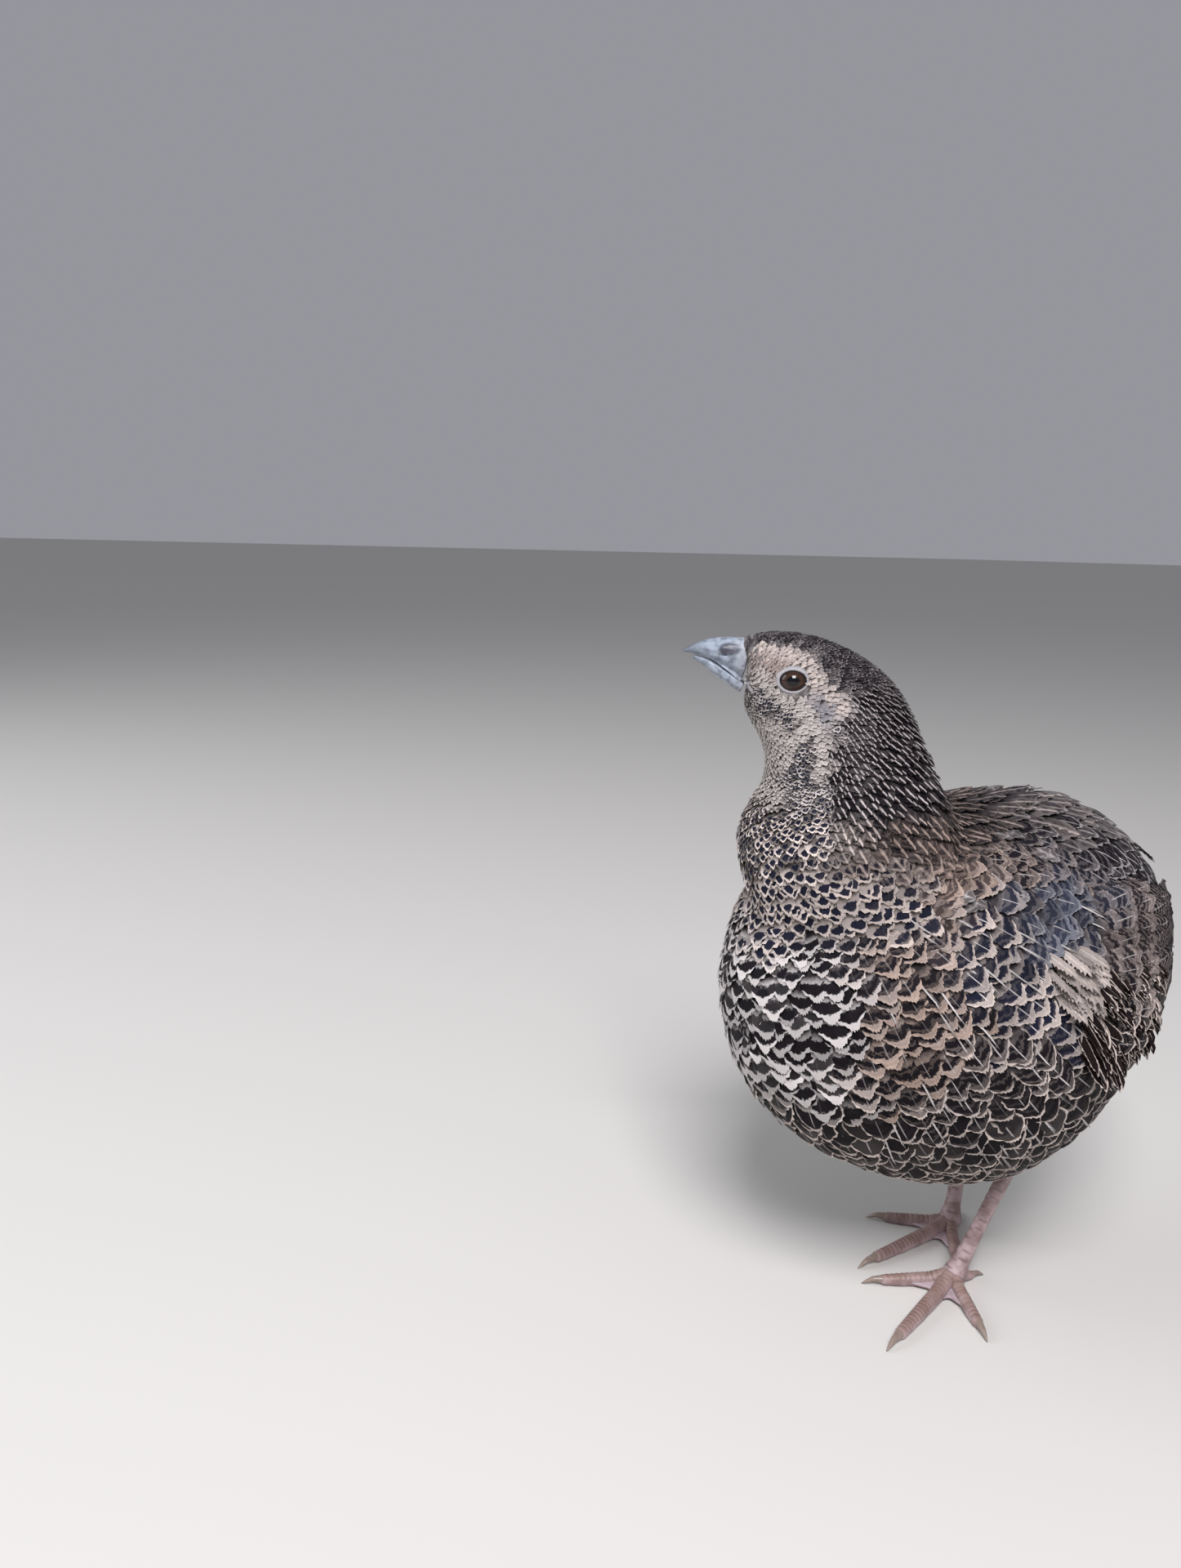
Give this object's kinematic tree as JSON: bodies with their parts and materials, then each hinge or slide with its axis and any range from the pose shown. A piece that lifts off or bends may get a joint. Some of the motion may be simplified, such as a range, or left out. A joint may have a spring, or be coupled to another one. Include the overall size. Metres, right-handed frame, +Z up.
{
  "type": "coturnix quail",
  "caption": "Life-size still model of a dark, barred coturnix quail standing on both feet with its head turned to its right.",
  "frame": {"origin": "on the floor, under the middle of the whole bird", "axes": "the bird's body faces -Y, its left side is +X and +Z is up; the head is turned towards -X"},
  "size_m": [0.0974, 0.138, 0.1582],
  "materials": {
    "body_feathers": "small overlapping feathers, cream and black bars on breast and flank, black-brown belly with cream edges",
    "neck_feathers": "small feathers, dark streaks on cream at the throat, black with pale streaks at the nape",
    "head_feathers": "very small feathers, grey-brown barred crown, pale brow and throat, lilac-grey ear patch",
    "wing_feathers": "overlapping vanes, dark brown-grey with cream zigzag bars and pale shafts",
    "tail_feathers": "soft overlapping vanes, grey-brown with fine mottling",
    "bill": "satin horn, pale blue-grey with a darker tip and ridge",
    "eye": "wet and glossy, dark brown iris and black pupil",
    "leg_skin": "scaly flesh-pink skin with orange-brown rings on the toes and lilac webs",
    "claw": "satin horn"
  },
  "bodies": {
    "root": {"torso": "body_feathers", "neck": "neck_feathers", "head": "head_feathers", "bill_upper": "bill", "bill_lower": "bill", "eye_left": "eye", "eye_right": "eye", "wing_left": "wing_feathers", "wing_right": "wing_feathers", "tail": "tail_feathers", "shank_left": "leg_skin", "toe_middle_left": "leg_skin", "toe_inner_left": "leg_skin", "toe_outer_left": "leg_skin", "toe_hind_left": "leg_skin", "claw_middle_left": "claw", "claw_inner_left": "claw", "claw_outer_left": "claw", "claw_hind_left": "claw", "shank_right": "leg_skin", "toe_middle_right": "leg_skin", "toe_inner_right": "leg_skin", "toe_outer_right": "leg_skin", "toe_hind_right": "leg_skin", "claw_middle_right": "claw", "claw_inner_right": "claw", "claw_outer_right": "claw", "claw_hind_right": "claw"}
  },
  "joints": []
}
